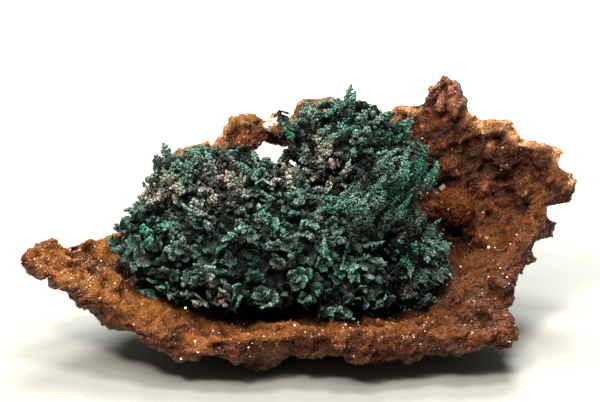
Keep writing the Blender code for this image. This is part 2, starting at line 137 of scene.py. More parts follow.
def mesh_object(name, points, triangles, smooth, **attributes):
    """An object from points in millimetres and triangles, with a value per point for each attribute."""
    mesh = bpy.data.meshes.new(name)
    mesh.vertices.add(len(points))
    mesh.vertices.foreach_set("co", (points * MM).astype(np.float32).ravel())
    mesh.loops.add(triangles.size)
    mesh.loops.foreach_set("vertex_index", triangles.astype(np.int32).ravel())
    mesh.polygons.add(len(triangles))
    mesh.polygons.foreach_set("loop_start", np.arange(0, triangles.size, 3, dtype=np.int32))
    mesh.polygons.foreach_set("loop_total", np.full(len(triangles), 3, dtype=np.int32))
    mesh.update(calc_edges=True)
    mesh.polygons.foreach_set("use_smooth", np.broadcast_to(smooth, len(triangles)).astype(bool))
    for key, values in attributes.items():
        layer = mesh.attributes.new(key, "FLOAT", "POINT")
        layer.data.foreach_set("value", np.asarray(values, dtype=np.float32))
    obj = bpy.data.objects.new(name, mesh)
    bpy.context.scene.collection.objects.link(obj)
    return obj


def remeshed_arrays(node, voxel, smoothing):
    """The CAD node's form as an even, rounded skin."""
    copy = bpy.data.objects.new("form", node.data.copy())
    bpy.context.scene.collection.objects.link(copy)
    fuse = copy.modifiers.new("fuse", "REMESH")
    fuse.mode = "VOXEL"
    fuse.voxel_size = voxel * MM
    soften = copy.modifiers.new("soften", "SMOOTH")
    soften.iterations = smoothing
    bpy.context.view_layer.update()
    graph = bpy.context.evaluated_depsgraph_get()
    evaluated = bpy.data.meshes.new_from_object(copy.evaluated_get(graph))
    copy.modifiers.clear()
    copy.data = evaluated
    arrays = mesh_arrays(copy)
    bpy.data.objects.remove(copy, do_unlink=True)
    return arrays


def unit(vectors):
    return vectors / np.maximum(np.linalg.norm(vectors, axis=-1, keepdims=True), 1e-9)


def smoothstep(low, high, values):
    t = np.clip((values - low) / (high - low), 0.0, 1.0)
    return t * t * (3 - 2 * t)


def sampled(points, triangles, count, rng, weights=None):
    """Random points on the triangles, and the triangles' normals there."""
    corners = points[triangles]
    area = np.linalg.norm(np.cross(corners[:, 1] - corners[:, 0], corners[:, 2] - corners[:, 0]), axis=1)
    if weights is not None:
        area = area * weights
    chosen = rng.choice(len(triangles), size=count, p=area / area.sum())
    a, b = rng.random(count), rng.random(count)
    flip = a + b > 1
    a[flip], b[flip] = 1 - a[flip], 1 - b[flip]
    c = corners[chosen]
    spots = c[:, 0] + (c[:, 1] - c[:, 0]) * a[:, None] + (c[:, 2] - c[:, 0]) * b[:, None]
    face = unit(np.cross(c[:, 1] - c[:, 0], c[:, 2] - c[:, 0]))
    return spots, face


def noise_values(points, wavelength, offset=0.0):
    """Perlin noise from about -1 to 1 at each point."""
    shift = Vector((offset, offset, offset))
    return np.array([noise.noise(Vector(p) / wavelength + shift) for p in points])


def cell_distances(points, size):
    """Distance from each point to the nearest of scattered middles, in cells of this size."""
    return np.array([noise.voronoi(Vector(p) / size)[0][0] for p in points])


# Plate


def inside_amount(points, normals):
    """1 where a point of the plate faces into the bowl, 0 where it is on the outside."""
    return smoothstep(-0.05, 0.25, np.sum(unit(np.array(BOWL_FOCUS) - points) * normals, axis=1))


def lined_amount(points, normals, inside):
    """1 where crystals line the plate: the bowl's inside, and its outer face in front and on the right."""
    front = smoothstep(*FRONT_Y, points[:, 1]) * smoothstep(-0.75, -0.2, normals[:, 2])
    right = smoothstep(*RIGHT_X, points[:, 0]) * smoothstep(-0.15, 0.2, -normals[:, 1])
    return np.maximum(np.maximum(inside, front), right)


def shade_under_copper_amount(points, triangles, covers):
    """How much painted shade each point of the plate gets from lying under the copper."""
    covered = np.zeros(len(points))
    for tree in covers:
        for i, point in enumerate(points):
            if covered[i] == 0:
                above, _, _, _ = tree.ray_cast(Vector(point), Vector(OVERHEAD), UNDER_REACH)
                covered[i] = above is not None
    return neighbour_mean(covered, triangles, len(points), 12)


def neighbour_mean(values, triangles, count, rounds):
    """The values averaged with their neighbours', several times."""
    edges = np.concatenate([triangles[:, (0, 1)], triangles[:, (1, 2)], triangles[:, (2, 0)]])
    degree = np.bincount(edges.ravel(), minlength=count)
    for _ in range(rounds):
        total = np.bincount(edges[:, 0], values[edges[:, 1]], count)
        total += np.bincount(edges[:, 1], values[edges[:, 0]], count)
        values = (values + total / np.maximum(degree, 1)) / 2
    return values


def way_to_rim(points, normals, tree):
    """The direction along the surface to the rim from each point, and how far the rock reaches."""
    outwards = points - BOWL_BOTTOM
    outwards = unit(outwards - normals * np.sum(outwards * normals, axis=1)[:, None])
    way = np.full(len(points), NOTCH_REACH)
    for i, (start, direction) in enumerate(zip(points - RIM_UNDER * normals, outwards)):
        _, _, _, distance = tree.ray_cast(Vector(start), Vector(direction))
        if distance is not None:
            way[i] = min(distance, NOTCH_REACH)
    return outwards, way


def rock_relief(points, inside, edge, steep):
    """Height of the lumps, ledges and pits at each point of the plate."""
    height = np.zeros(len(points))
    for wavelength, amount in SWELLS:
        height += amount * noise_values(points, wavelength)
    for size, amount in LUMPS:
        height += amount * (0.5 - cell_distances(points, size)) * (CALM + (ROUGH - CALM) * steep)
    shelf = points @ np.array(LEDGE_UP) / LEDGE_STEP + 1.3 * noise_values(points, 6.0, 9.1)
    height += LEDGE_HEIGHT * (2 * (shelf - np.floor(shelf)) - 1) * inside
    height += FURROW_HEIGHT * noise_values(points * FURROW_STRETCH, 1.1, 4.4) * inside
    pits = np.clip(1 - cell_distances(points, PIT_SPACING) / PIT_RADIUS, 0, 1)
    height -= PIT_DEPTH * pits * inside * (0.25 + 0.75 * steep)
    gash = spots_amount(points[:, (0, 2)], GASHES) * inside * smoothstep(0.0, 3.0, points[:, 1])
    return height * (1 + RAGGED * edge) - GASH_DEPTH * gash


def bitten_limit(points):
    """How far to the right the rock reaches at each point, where bites are broken out of its rim."""
    _, up = as_seen(points).T
    up = up + BITE_WAVER * noise_values(points, 1.1, 7.7)
    limit = np.full(len(points), np.inf)
    for across, middle, radius in BITES:
        inside = np.abs(up - middle) < radius
        reach = across - np.sqrt(np.maximum(radius**2 - (up - middle) ** 2, 0))
        limit = np.where(inside, np.minimum(limit, reach), limit)
    return limit + 0.5 * BITE_WAVER * noise_values(points, 0.7, 2.3)


def notch_depth(points, triangles, way):
    """How far small notches draw the rim in at each point."""
    depth = NOTCH_DEPTH * (1 - neighbour_mean(way, triangles, len(points), 3) / NOTCH_REACH)
    small = np.clip(0.8 - 2.4 * cell_distances(points, NOTCH_SPACING), 0, 1)
    small *= 0.5 + 0.5 * smoothstep(*NOTCH_X, points[:, 0])
    return depth * small


def pale_rim(points, triangles, way, edge, from_peak, lump):
    """How pale the broken rim is, partly painted light from behind, at each point, and 0 away from it."""
    rim = edge * smoothstep(*PALE_RIM_Z, points[:, 2]) * smoothstep(0.7 * PEAK[2], PEAK[2], from_peak)
    rim *= LEFT_RIM + (1 - LEFT_RIM) * smoothstep(*PALE_RIM_X, points[:, 0])
    rim *= 1 - smoothstep(*RIM_AROUND, neighbour_mean(way, triangles, len(points), 8))
    return rim * (1 - lump)


def build_plate():
    """The plate's rock, with its points, its triangles and what its materials read at each point."""
    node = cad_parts["dolomite_plate"]
    points, normals, triangles = remeshed_arrays(node, PLATE_VOXEL, PLATE_SMOOTHING)
    lined = lined_amount(points, normals, inside_amount(points, normals))
    outwards, way = way_to_rim(points, normals, tree_of(points, triangles))
    edge = neighbour_mean(1 - smoothstep(*RIM_WIDTH, way), triangles, len(points), 2)
    notch = notch_depth(points, triangles, way)
    from_peak = np.hypot(points[:, 0] - PEAK[0], points[:, 2] - PEAK[1])
    steep = 1 - np.clip(normals[:, 2], 0, 1)
    lump = spots_amount(points, AMBER_LUMPS)
    rim = pale_rim(points, triangles, way, edge, from_peak, lump)
    relief = rock_relief(points, lined, edge, steep) * (1 - 0.8 * lump) + AMBER_LUMP_HEIGHT * lump
    standing = smoothstep(*FOOT_Z, points[:, 2])
    points = points + normals * (relief * standing)[:, None] - outwards * (notch * standing)[:, None]
    narrowing = PEAK_TAPER[1] * smoothstep(*PEAK_TAPER[0], points[:, 2])
    points[:, 0] += narrowing * (PEAK[0] - points[:, 0])
    points[:, 0] = np.minimum(points[:, 0], bitten_limit(points))
    points[:, 2] = np.maximum(points[:, 2], 0.0)
    covers = [tree_of(*mesh_arrays(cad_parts[name])[::2]) for name in FORKS]
    looks = {
        "lined": lined, "rim": rim, "steep": steep, "hollow": -relief, "lump": lump,
        # painted shade over the shaded parts
        "spot_shade": spots_amount(points, SHADED_PARTS),
        # painted shade under the copper
        "under": shade_under_copper_amount(points, triangles, covers),
        "peak": 1 - smoothstep(0.1 * PEAK[2], 1.2 * PEAK[2], from_peak),
        # painted shade close to the floor
        "low": 1 - smoothstep(1.0, 5.0, points[:, 2]),
    }
    return mesh_object("dolomite_plate_rock", points, triangles, True, **looks), points, triangles, looks


# Crystals


def rhomb_shape():
    """The half of a rhomb that grows out of the rock: its tip, three upper and three lower corners."""
    points = [(0.0, 0.0, RHOMB_SQUASH * math.sqrt(3) / 2)]
    for turn, height in ((0.0, 1.0), (math.pi / 3, -1.0)):
        for corner in range(3):
            angle = turn + corner * math.tau / 3
            z = height * RHOMB_SQUASH / math.sqrt(12)
            points.append((math.sqrt(2 / 3) * math.cos(angle), math.sqrt(2 / 3) * math.sin(angle), z))
    faces = []
    for corner in range(3):
        left, right, low = 1 + corner, 1 + (corner + 1) % 3, 4 + corner
        faces += [(0, left, low), (0, low, right)]
    return np.array(points), np.array(faces)


def rhombs(centres, normals, sizes, rng):
    """Vertices and triangles of rhombs that lean and turn at random, and how many vertices each has."""
    shape, faces = rhomb_shape()
    axis = unit(normals + rng.normal(0, RHOMB_LEAN, centres.shape))
    side = unit(np.cross(axis, rng.normal(size=centres.shape)))
    turned = np.einsum("kj,nji->nki", shape, np.stack([side, np.cross(axis, side), axis], axis=1))
    points = centres[:, None, :] + turned * sizes[:, None, None]
    joined = faces[None] + len(shape) * np.arange(len(centres))[:, None, None]
    return points.reshape(-1, 3), joined.reshape(-1, 3), len(shape)


def druse(points, triangles, looks, rng):
    """Middles, normals and sizes of the small crystals all over the lined surface."""
    lined = looks["lined"][triangles].mean(axis=1) - 0.5 * looks["rim"][triangles].mean(axis=1)
    sparse = SPARSE_SHARE * smoothstep(*SPARSE_X, points[triangles[:, 0], 0])
    weights = np.clip(lined, 0.02, 1.0) * (1 - sparse)
    centres, normals = sampled(points, triangles, DRUSE_COUNT, rng, weights)
    smallest, largest = DRUSE_SIZE
    return centres, normals, smallest + (largest - smallest) * rng.random(DRUSE_COUNT) ** 2.2


def clusters(tree, rng):
    """Middle, normal, size and kind of each larger crystal, where a line along +Y meets the plate."""
    for kind, x, z, spread, size, count in CLUSTERS:
        for _ in range(count):
            start = Vector((x + rng.normal(0, spread), IN_FRONT, z + rng.normal(0, spread)))
            spot, normal, _, _ = tree.ray_cast(start, Vector((0, 1, 0)))
            if spot is not None:
                yield spot, normal, rng.uniform(*size), kind


def nearest_corner(tree, triangles, centre):
    """The vertex of the rock that a crystal stands at."""
    _, _, index, _ = tree.find_nearest(Vector(centre))
    return triangles[index][0]


def build_crystals(points, triangles, looks):
    """The small crystals and the clusters of larger ones, with the rock's looks where they stand."""
    rng = np.random.default_rng(21)
    tree = tree_of(points, triangles)
    centres, normals, sizes = druse(points, triangles, looks, rng)
    spots, directions, larger, named = zip(*clusters(tree, rng))
    centres = np.concatenate([centres, spots])
    normals = np.concatenate([normals, directions])
    sizes = np.concatenate([sizes, larger])
    kinds = np.array(["small"] * DRUSE_COUNT + list(named))
    centres = centres - normals * (CRYSTAL_SUNK * sizes)[:, None]
    standing = centres[:, 2] > LOWEST_CRYSTAL
    centres, normals, sizes, kinds = [column[standing] for column in (centres, normals, sizes, kinds)]
    beside = [nearest_corner(tree, triangles, centre) for centre in centres]
    made, faces, corners = rhombs(centres, normals, sizes, rng)
    attributes = {kind: np.repeat(kinds == kind, corners) for kind in ("amber", "pale", "green")}
    attributes.update({key: np.repeat(values[beside], corners) for key, values in looks.items()})
    tint = np.repeat(rng.random(len(centres)), corners)
    return mesh_object("dolomite_crystals", made, faces, False, tint=tint, **attributes)


# Copper

# Each fork of the copper. root: the point that its sprigs and leaves grow away from; pull: how much they
# also spread from their clump's middle; inset: how deep the core lies; relief: height of the clumps;
# spacing: between sprigs; lay: 1 if they lie flat and 0 if they stand out; length, step: of a sprig and
# between its blades; reach, width: of a blade; leaves: their share low down and high up; long: the share
# of long sprigs; tone: how pale a sprig is; light: painted light, how much paler the fork is; budget: the
# most triangles.
FORKS = {
    "copper_mass": {
        "root": (-5.0, 2.0, 8.0), "pull": 0.9, "inset": 1.7, "relief": 3.8, "spacing": 0.98, "lay": 0.45,
        "length": (2.2, 3.6), "step": 0.52, "reach": 1.25, "width": 0.58, "leaves": (0.90, 0.35),
        "long": 0.28, "tone": (0.0, 0.9), "light": 0.0, "budget": 197000,
    },
    "copper_crest": {
        "root": (4.0, 8.0, 16.0), "pull": 0.9, "inset": 1.5, "relief": 3.6, "spacing": 1.22, "lay": 0.45,
        "length": (2.6, 4.0), "step": 0.48, "reach": 1.25, "width": 0.55, "leaves": (0.3, 0.08),
        "long": 0.30, "tone": (0.3, 1.1), "light": 0.0, "budget": 130000,
    },
    "copper_plume": {
        "root": (4.0, -4.0, 12.0), "pull": 0.35, "inset": 1.3, "relief": 1.3, "spacing": 1.02, "lay": 0.86,
        "length": (3.0, 4.6), "step": 0.40, "reach": 1.15, "width": 0.33, "leaves": (0.0, 0.0),
        "long": 0.0, "tone": (0.8, 1.3), "light": 0.25, "budget": 140000,
    },
    "copper_right_spray": {
        "root": (8.0, -2.0, 12.0), "pull": 0.7, "inset": 1.4, "relief": 3.0, "spacing": 1.02, "lay": 0.60,
        "length": (2.6, 4.0), "step": 0.42, "reach": 1.1, "width": 0.38, "leaves": (0.0, 0.0),
        "long": 0.1, "tone": (0.4, 1.0), "light": 0.0, "budget": 100000,
    },
    "copper_left_spray": {
        "root": (-12.0, 4.0, 14.0), "pull": 0.9, "inset": 1.3, "relief": 4.0, "spacing": 1.1, "lay": 0.55,
        "length": (2.4, 3.6), "step": 0.52, "reach": 1.15, "width": 0.60, "leaves": (0.4, 0.4),
        "long": 0.25, "tone": (0.2, 1.0), "light": 0.0, "budget": 60000,
    },
    "copper_back_branch": {
        "root": (-6.0, 8.0, 14.0), "pull": 0.9, "inset": 0.9, "relief": 2.5, "spacing": 1.1, "lay": 0.8,
        "length": (1.6, 2.4), "step": 0.42, "reach": 0.8, "width": 0.5, "leaves": (0.0, 0.0),
        "long": 0.0, "tone": (0.2, 1.0), "light": 0.0, "budget": 24000,
    },
}
CORE_VOXEL = 0.42
CORE_SMOOTHING = 24
CORE_SHARE = 0.33  # the core is never inset by more than this share of the thickness there
# painted shade on the core
CORE_SHADE = 0.5
UNDER_SKIN = 0.3  # how deep the thickness is measured from
TWIG_THICKNESS = (2.0, 5.0)  # thinner parts get less of the core's painted shade
LOBE_SIZE = 1.7  # of the crinkled lobes that cover the core
LOBE_CRINKLE = 0.35
LOBE_CRACK = 0.28
LOBE_HEIGHT = 0.8
CANDIDATES = 12000  # random places on a fork's skin, of which those that keep the spacing get a sprig
CLUMP_SIZE = 4.4
VALLEY_SHADE = 0.55  # painted shade: how much darker the copper is in the valleys between clumps
TIP_SCATTER = 0.4
ROCK_REACH = (0.4, 3.0)  # nothing grows where rock lies straight out from it, from here and this far on
LEAFY_Z = (15.0, 20.0)  # heights between which the share of leaves goes from the low one to the high one
SPLAY = math.radians(50)  # between a sprig's stem and its blades
LONG_SPRIG = (1.6, 1.3, 1.2)  # how much longer and wider a long sprig is, and how far it stands out
# Spots of the copper as seen from the front: across, up and radius in the photo's plane.
MALACHITE_SPOTS = [
    (3.6, 9.3, 5.5), (-3.2, 16.3, 2.5), (-23.0, 15.2, 3.2), (-21.6, 6.9, 2.0), (-1.0, 29.1, 2.2),
    (13.5, 20.4, 3.2), (16.5, 24.1, 3.0), (13.2, 29.3, 2.5), (14.5, 12.0, 2.6), (-8.0, 8.7, 3.0),
]
BROWN_SPOTS = [
    (-12.0, 21.0, 5.5), (-20.0, 20.6, 3.5), (3.0, 24.3, 4.2), (-13.0, 5.4, 4.2), (-3.0, 23.2, 3.0),
    (5.8, 7.1, 1.2), (2.9, 5.4, 1.2), (-0.8, 6.9, 1.0), (13.8, 15.1, 1.6), (14.8, 7.1, 1.7),
    (0.5, 29.0, 2.0),
]
# painted highlights along the plume's upper left edge
HIGHLIGHT_SPOTS = [
    (6.8, 20.5, 1.0), (7.5, 21.4, 1.0), (8.3, 22.3, 1.0), (9.2, 23.2, 1.0), (10.0, 24.1, 1.0),
    (10.8, 25.2, 1.0),
]
# Hollows in the copper's front: the core lies deeper there, no sprig grows, and painted shade darkens them.
HOLLOWS = [
    (8.7, 25.0, 1.7), (6.9, 22.9, 1.0), (1.0, 27.5, 0.9), (13.7, 9.3, 1.0), (12.9, 7.0, 1.2),
    (12.5, 4.5, 1.5), (0.5, 12.4, 1.0), (-2.2, 4.3, 1.4), (4.2, 5.7, 1.2), (12.1, 14.1, 1.1),
    (-4.2, 8.9, 1.3), (-9.5, 12.5, 1.0),
]
HOLLOW_DEPTH = 2.2  # how much deeper the core lies in a hollow
BARE_SPOTS = [(-3.1, 31.6, 2.0)]  # where no sprig has its tip, beside the window
HIGHLIGHT_FORK = "copper_plume"  # the painted highlight spots are on its upper left edge

# outer: 0 deep in the copper, where painted shade makes it black, and 1 on the outside; edge: where a
# painted highlight lies
LAYER_LOOKS = ("outer", "tint", "clump", "edge")  # what the material reads at each point of a fork

# A blade is a flat bar: a narrow foot, a wide shoulder and a blunt tip.
SHOULDER_AT = 0.72
FOOT_WIDTH = 0.55
BLADE_POINTS = 9
BLADE_FACES = np.array(
    [(i, (i + 1) % 4, 4 + (i + 1) % 4) for i in range(4)] + [(i, 4 + (i + 1) % 4, 4 + i) for i in range(4)]
    + [(4 + i, 4 + (i + 1) % 4, 8) for i in range(4)]
)
# out: how much it turns out from the skin; rise: how far its tip stands above where a sprig's would
LEAF = {"width": (1.4, 2.5), "length": (1.5, 2.6), "thickness": (0.38, 0.65), "out": 0.0, "rise": 0.2}
FINGER = {"width": (0.9, 1.4), "length": (2.4, 3.8), "thickness": (0.9, 1.3), "out": 0.5, "rise": 0.9}
FINGER_SHARE = 0.22
LEAF_SHAPES = 16
LEAF_LAY = 0.62
LEAF_TILT = 0.4
LEAF_GRAIN = 0.05
# The rings of points of a leaf, from its face's middle to its back's: radius, number of points and height.
LEAF_RINGS = ((0.0, 1, 0.30), (0.45, 8, 0.36), (0.86, 16, 0.40), (1.0, 16, 0.0), (0.0, 1, -0.45))
LEAF_EDGE = 0.8  # rings with a larger radius form a leaf's edge


def spots_amount(points, spots):
    """How much each point lies in one of the round spots, with soft edges."""
    amount = np.zeros(len(points))
    for *middle, radius in spots:
        distance = np.linalg.norm(points - middle, axis=1)
        amount = np.maximum(amount, 1 - smoothstep(0.4 * radius, 1.15 * radius, distance))
    return amount


def as_seen(points):
    """Where the points lie across and up in the photo's plane."""
    tilt = math.radians(CAMERA_ELEVATION)
    up = points[:, 1] * math.sin(tilt) + points[:, 2] * math.cos(tilt)
    return np.stack([points[:, 0], up], axis=1)


def hollow_amount(points, normals):
    """How much each point, facing this way, belongs to a hollow of the copper's front."""
    return spots_amount(as_seen(points), HOLLOWS) * smoothstep(0.3, -0.2, normals[:, 1])


def blades_mesh(foot, direction, side, length, width, flat):
    """Vertices, triangles and the place along its blade of each vertex."""
    across = unit(np.cross(direction, side))
    side = unit(np.cross(across, direction))
    wide = side * (width / 2)[:, None]
    thin = across * (width * flat / 2)[:, None]
    shoulder = foot + direction * (length * SHOULDER_AT)[:, None]
    tip = foot + direction * length[:, None]
    ring = (wide + thin, thin - wide, -wide - thin, wide - thin)
    points = np.stack([foot + FOOT_WIDTH * r for r in ring] + [shoulder + r for r in ring] + [tip], axis=1)
    faces = BLADE_FACES[None] + BLADE_POINTS * np.arange(len(foot))[:, None, None]
    along = np.tile([0.0] * 4 + [SHOULDER_AT] * 4 + [1.0], len(foot))
    return points.reshape(-1, 3), faces.reshape(-1, 3), along


def sprig(tip, axis, face, fork, longer, wider, rng):
    """Blades in a herringbone on both sides and on the face of a short curved stem."""
    length = longer * rng.uniform(*fork["length"])
    rows = max(3, int(length / fork["step"]))
    s = (np.arange(rows) + 0.5 * rng.random(rows)) / rows
    across = np.cross(face, axis)
    bend = rng.normal(0, 0.15) * across - 0.2 * face
    centre = tip - np.outer((1 - s) * length, axis) + np.outer((1 - s) ** 2 * length, bend)
    taper = 1 - 0.6 * s**1.5
    parts = []
    for sideways, outwards in ((1, 0.2), (-1, 0.2), (0, 1.0)):
        spread = across * sideways + face * outwards
        direction = axis * math.cos(SPLAY) + spread * math.sin(SPLAY) + rng.normal(0, 0.13, (rows, 3))
        reach = wider * fork["reach"] * taper * rng.uniform(0.75, 1.2, rows) * (1.0 if sideways else 0.7)
        parts.append((centre, unit(direction), np.tile(face, (rows, 1)), reach,
                      fork["width"] * rng.uniform(0.75, 1.25, rows), rng.uniform(0.45, 0.8, rows), s))
    stem = np.tile(axis, (rows, 1)) + rng.normal(0, 0.10, (rows, 3))
    parts.append((centre, unit(stem), np.tile(across, (rows, 1)), np.full(rows, 2.0 * length / rows),
                  fork["width"] * 1.1 * (1 - 0.4 * s), np.full(rows, 0.8), s))
    return [np.concatenate(columns) for columns in zip(*parts)]


def ring_faces(counts):
    """Triangles between neighbouring rings, where the larger count is a multiple of the smaller."""
    starts = np.cumsum([0] + list(counts))
    faces = []
    for inner, outer, first, second in zip(starts, starts[1:], counts, counts[1:]):
        most = max(first, second)
        for i in range(most):
            a, b = [inner + step * first // most % first for step in (i, i + 1)]
            c, d = [outer + step * second // most % second for step in (i, i + 1)]
            faces += [triangle for triangle in ((a, c, d), (a, d, b)) if len(set(triangle)) == 3]
    return np.array(faces)


def leaf_shapes():
    """Thin rounded leaves, one across, with notched edges: the foot at 0 and the tip near y = 1."""
    rng = np.random.default_rng(8)
    shapes = []
    for _ in range(LEAF_SHAPES):
        notches, turn = rng.integers(3, 6), rng.uniform(0, math.tau)
        points = []
        for radius, count, z in LEAF_RINGS:
            angle = np.arange(count) / count * math.tau
            ragged = rng.uniform(-0.20, 0.10, count) * (radius > LEAF_EDGE)
            outline = 1 + 0.13 * np.sin(notches * angle + turn) + ragged
            ring = np.stack([np.sin(angle), np.cos(angle), np.full(count, z)], axis=1)
            ring[:, :2] *= (0.5 * radius * outline)[:, None]
            points.append(ring)
        shape = np.concatenate(points)
        shape[:, :2] += rng.normal(0, LEAF_GRAIN, (len(shape), 2)) * 0.5
        shape[:, 2] += rng.normal(0, 2.2 * LEAF_GRAIN, len(shape))
        shape[:, 1] += 0.5
        shape[:, 2] += rng.uniform(-1.5, 1.5) * shape[:, 0] ** 2 - rng.uniform(0, 0.6) * shape[:, 1] ** 2
        shapes.append(shape)
    return np.array(shapes), ring_faces([count for _, count, _ in LEAF_RINGS])


def leaves_mesh(foot, axis, face, width, length, thickness, shape):
    """Vertices, triangles, each vertex's place along its leaf, and 1 where it lies at the leaf's edge."""
    shapes, faces = leaf_shapes()
    size = np.stack([width, length, thickness], axis=1)
    turned = np.stack([np.cross(axis, face), axis, face], axis=1)
    points = foot[:, None, :] + np.einsum("nkj,nji->nki", shapes[shape] * size[:, None, :], turned)
    joined = faces[None] + shapes.shape[1] * np.arange(len(foot))[:, None, None]
    border = np.concatenate([np.full(count, float(radius > LEAF_EDGE)) for radius, count, _ in LEAF_RINGS])
    along = np.clip(shapes[shape][:, :, 1], 0, 1).ravel()
    return points.reshape(-1, 3), joined.reshape(-1, 3), along, np.tile(border, len(foot))


def spaced(points, spacing):
    """Indexes of points that keep at least the spacing from each other, in order."""
    taken, kept = {}, []
    for index, point in enumerate(points):
        cell = tuple((point // spacing).astype(int))
        around = [
            other
            for dx in (-1, 0, 1) for dy in (-1, 0, 1) for dz in (-1, 0, 1)
            for other in taken.get((cell[0] + dx, cell[1] + dy, cell[2] + dz), ())
        ]
        if all(np.sum((point - other) ** 2) > spacing**2 for other in around):
            taken.setdefault(cell, []).append(point)
            kept.append(index)
    return kept


def clump_at(point):
    """The rounded clump that the copper grows in here: 1 on its top and 0 at its edge, and its middle."""
    (near, second, *_), (middle, *_) = noise.voronoi(Vector(point) / CLUMP_SIZE)
    return min(second - near, 0.5) / 0.5, np.array(middle) * CLUMP_SIZE


def bare_at(tip, face, plate_tree):
    """Whether nothing grows here: in a hollow, at a bare spot, or close under the plate's rock."""
    hollow = hollow_amount(tip[None], face[None])[0]
    if max(hollow, spots_amount(as_seen(tip[None]), BARE_SPOTS)[0]) > 0.5:
        return True
    start, reach = ROCK_REACH
    rock, _, _, _ = plate_tree.ray_cast(Vector(tip + face * start), Vector(face), reach)
    return rock is not None


def lobe_amount(points):
    """1 on the tops of small crinkled lobes, 0 in the cracks between them."""
    amount = np.empty(len(points))
    for i, point in enumerate(points):
        place = Vector(point) / LOBE_SIZE
        place += LOBE_CRINKLE * noise.noise_vector(place * 2.5)
        near, second = noise.voronoi(place)[0][:2]
        amount[i] = min((second - near) / LOBE_CRACK, 1.0) * (1.0 - 0.6 * near)
    return amount


def thickness_at(points, normals, triangles):
    """How thick the form is straight behind each point, on average around it."""
    tree = tree_of(points, triangles)
    depth = np.empty(len(points))
    for i, (point, normal) in enumerate(zip(points, normals)):
        _, _, _, distance = tree.ray_cast(Vector(point - normal * UNDER_SKIN), Vector(-normal))
        depth[i] = 0.0 if distance is None else distance
    return neighbour_mean(depth, triangles, len(points), 3)


def core_layer(skin, normals, triangles, inset):
    """The branches' inner body, which is the skin pulled in under small crinkled lobes."""
    lobes = lobe_amount(skin)
    thickness = thickness_at(skin, normals, triangles)
    depth = np.minimum(inset + HOLLOW_DEPTH * hollow_amount(skin, normals), CORE_SHARE * thickness)
    twig = 1 - smoothstep(*TWIG_THICKNESS, thickness)
    return {
        "points": skin - normals * (depth - LOBE_HEIGHT * (lobes - 0.5))[:, None], "faces": triangles,
        # painted shade: the core is darker than the sprigs and black in its lobes' cracks; tint makes the
        # lobes' tops greyer
        "outer": (CORE_SHADE + (1 - CORE_SHADE) * twig) * lobes, "tint": lobes,
        "clump": 0.5 + 0.5 * noise_values(skin, 1.2), "edge": np.zeros(len(skin)),
    }


def grow(fork, skin, triangles, plate_tree, rng):
    """The blades of all sprigs of a fork, and its leaves."""
    candidates, faces = sampled(skin, triangles, CANDIDATES, rng)
    root = np.array(fork["root"])
    blades, leaves = [], []
    for index in spaced(candidates, fork["spacing"]):
        face = faces[index]
        height, middle = clump_at(candidates[index])
        shade = 1 - VALLEY_SHADE * (1 - height)
        lift = fork["relief"] * (0.5 * height - 0.3) + rng.normal(0, TIP_SCATTER)
        tip = candidates[index] + face * lift
        if bare_at(tip, face, plate_tree):
            continue
        flow = unit(tip - root) + fork["pull"] * unit(tip - middle) + rng.normal(0, 0.2, 3)
        flat = unit(flow - face * np.dot(flow, face))
        low, high = fork["leaves"]
        is_leaf = rng.random() < low + (high - low) * smoothstep(*LEAFY_Z, tip[2])
        lay = LEAF_LAY if is_leaf else fork["lay"]
        axis = unit(flat * lay + face * (1 - lay) + rng.normal(0, 0.12, 3))
        if is_leaf:
            kind = FINGER if rng.random() < FINGER_SHARE else LEAF
            axis = unit(axis + kind["out"] * face)
            front = unit(face + rng.normal(0, LEAF_TILT, 3))
            front = unit(front - axis * np.dot(front, axis))
            size = [rng.uniform(*kind[key]) for key in ("width", "length", "thickness")]
            foot = tip + axis * (kind["rise"] - size[1])
            shape = rng.integers(LEAF_SHAPES)
            leaves.append((foot, axis, front, *size, shape, rng.uniform(*fork["tone"]), shade))
        else:
            front = unit(face - axis * np.dot(face, axis))
            longer, wider = 1.0, 1.0
            if rng.random() < fork["long"]:
                longer, wider, rise = LONG_SPRIG
                tip = tip + rise * face
                shade = 1.0
            made = sprig(tip, axis, front, fork, longer, wider, rng)
            made += [np.full(len(made[0]), shade), np.full(len(made[0]), rng.uniform(*fork["tone"]))]
            blades.append(made)
    return [np.concatenate(columns) for columns in zip(*blades)], leaves


def leaf_layer(leaves, rng):
    """The mesh of a fork's leaves, and what its material reads at each point."""
    *shape, tone, shade = [np.array(column) for column in zip(*leaves)]
    points, faces, along, border = leaves_mesh(*shape)
    repeats = len(points) // len(leaves)
    return {
        # painted shade: a leaf darkens towards its foot and in the valleys
        "points": points, "faces": faces, "outer": (0.15 + 0.85 * along) * np.repeat(shade, repeats),
        "tint": np.repeat(rng.random(len(leaves)), repeats), "clump": np.repeat(tone, repeats),
        "edge": border,
    }


def blade_layer(blades, most, light, rng):
    """The mesh of a fork's blades, of which at random no more than the most are kept."""
    kept = np.sort(rng.permutation(len(blades[0]))[:most])
    *shape, s, shade, tone = [column[kept] for column in blades]
    points, faces, along = blades_mesh(*shape)
    # painted shade: a blade darkens towards its foot, the sprig's foot and the valleys, less where painted
    # light lifts it
    outer = np.clip(light + 0.12 + 0.68 * np.repeat(s, BLADE_POINTS) + 0.30 * along, 0, 1)
    return {
        "points": points, "faces": faces, "outer": outer * np.repeat(shade, BLADE_POINTS),
        "tint": np.repeat(rng.random(len(kept)), BLADE_POINTS), "clump": np.repeat(tone, BLADE_POINTS),
        "edge": along**2,
    }


